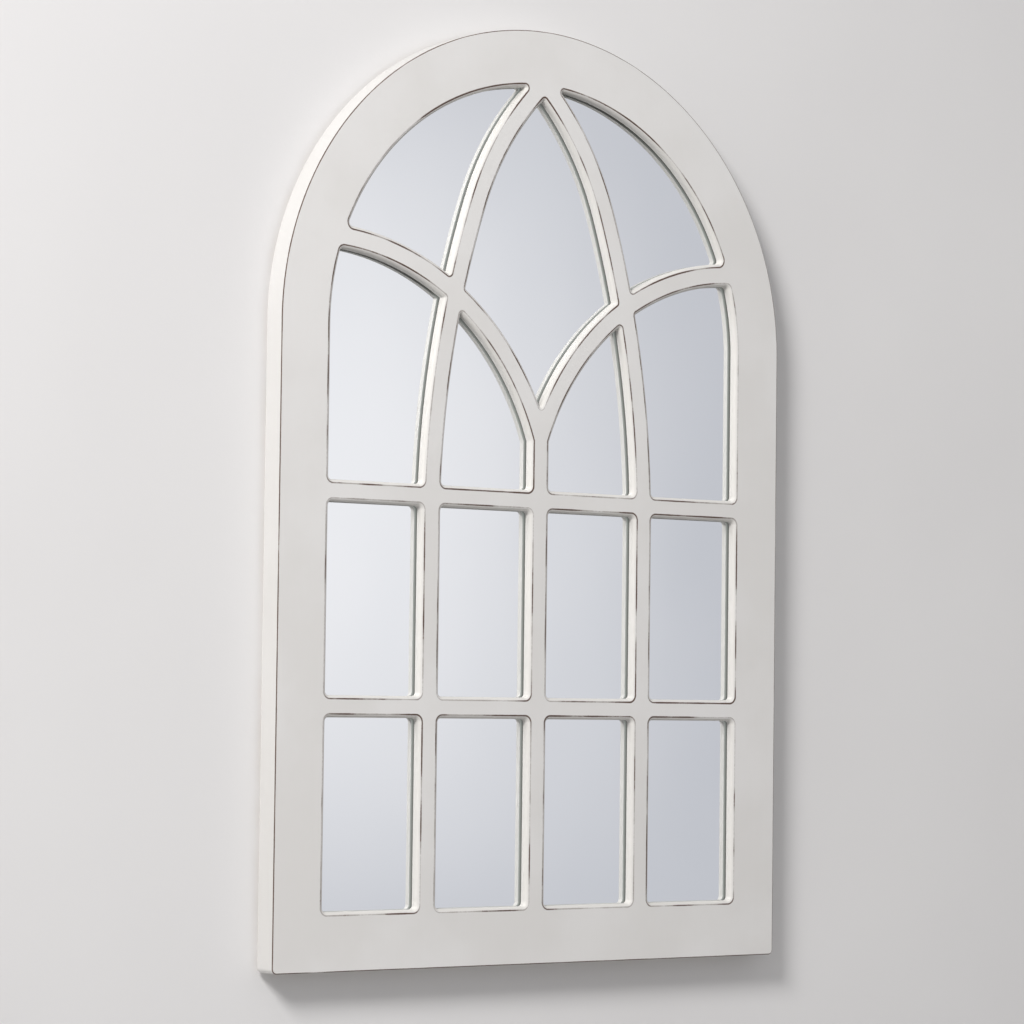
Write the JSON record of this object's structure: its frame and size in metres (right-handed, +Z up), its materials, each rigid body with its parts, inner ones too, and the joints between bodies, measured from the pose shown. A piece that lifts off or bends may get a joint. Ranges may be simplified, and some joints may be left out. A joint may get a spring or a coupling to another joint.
{
  "type": "arched window mirror",
  "caption": "Arched window-pane wall mirror: worn white painted frame with bars and crossing curved tracery over one mirror sheet, hung by two rings at the back.",
  "frame": {"origin": "the hanging point: in the wall's plane, on the centre line, at the height where two wall hooks bear on the hanging rings when these are turned up", "axes": "+Z up, +Y towards the wall so that the mirror faces -Y, +X to the right as seen from the front"},
  "size_m": [0.61, 0.0314, 0.915],
  "materials": {
    "painted_board": "satin paint rubbed through at the edges",
    "painted_rear": "satin paint on the outside, bare board at the back",
    "mirror_glass": "polished",
    "felt": "soft",
    "hardboard": "smooth hardboard",
    "block_rubber": "matte",
    "bumper_rubber": "matte",
    "screw_steel": "zinc plated",
    "plate_steel": "zinc plated sheet",
    "ring_steel": "zinc plated wire"
  },
  "bodies": {
    "frame": {"front_panel": "painted_board", "rear_bottom_strip": "painted_rear", "rear_side_strip_left": "painted_rear", "rear_side_strip_right": "painted_rear", "rear_arch_left": "painted_rear", "rear_arch_crown": "painted_rear", "rear_arch_right": "painted_rear", "mirror_glass": "mirror_glass", "cushion_sheet": "felt", "backing_board": "hardboard", "setting_blocks": "block_rubber", "edge_spacers": "block_rubber", "frame_screws": "screw_steel", "backing_clips": "plate_steel", "clip_screws": "screw_steel", "hanger_strap_left": "plate_steel", "hanger_strap_right": "plate_steel", "hanger_screws": "screw_steel", "wall_bumpers": "bumper_rubber"},
    "ring_left": {"hang_ring_left": "ring_steel"},
    "ring_right": {"hang_ring_right": "ring_steel"}
  },
  "joints": [
    {"name": "ring_left_swing", "type": "hinge", "parent": "frame", "child": "ring_left", "pos_m": [-0.29, -0.00315, -0.01525], "axis": [1, 0, 0], "range_deg": [0, 175]},
    {"name": "ring_right_swing", "type": "hinge", "parent": "frame", "child": "ring_right", "pos_m": [0.29, -0.00315, -0.01525], "axis": [1, 0, 0], "range_deg": [0, 175]}
  ]
}
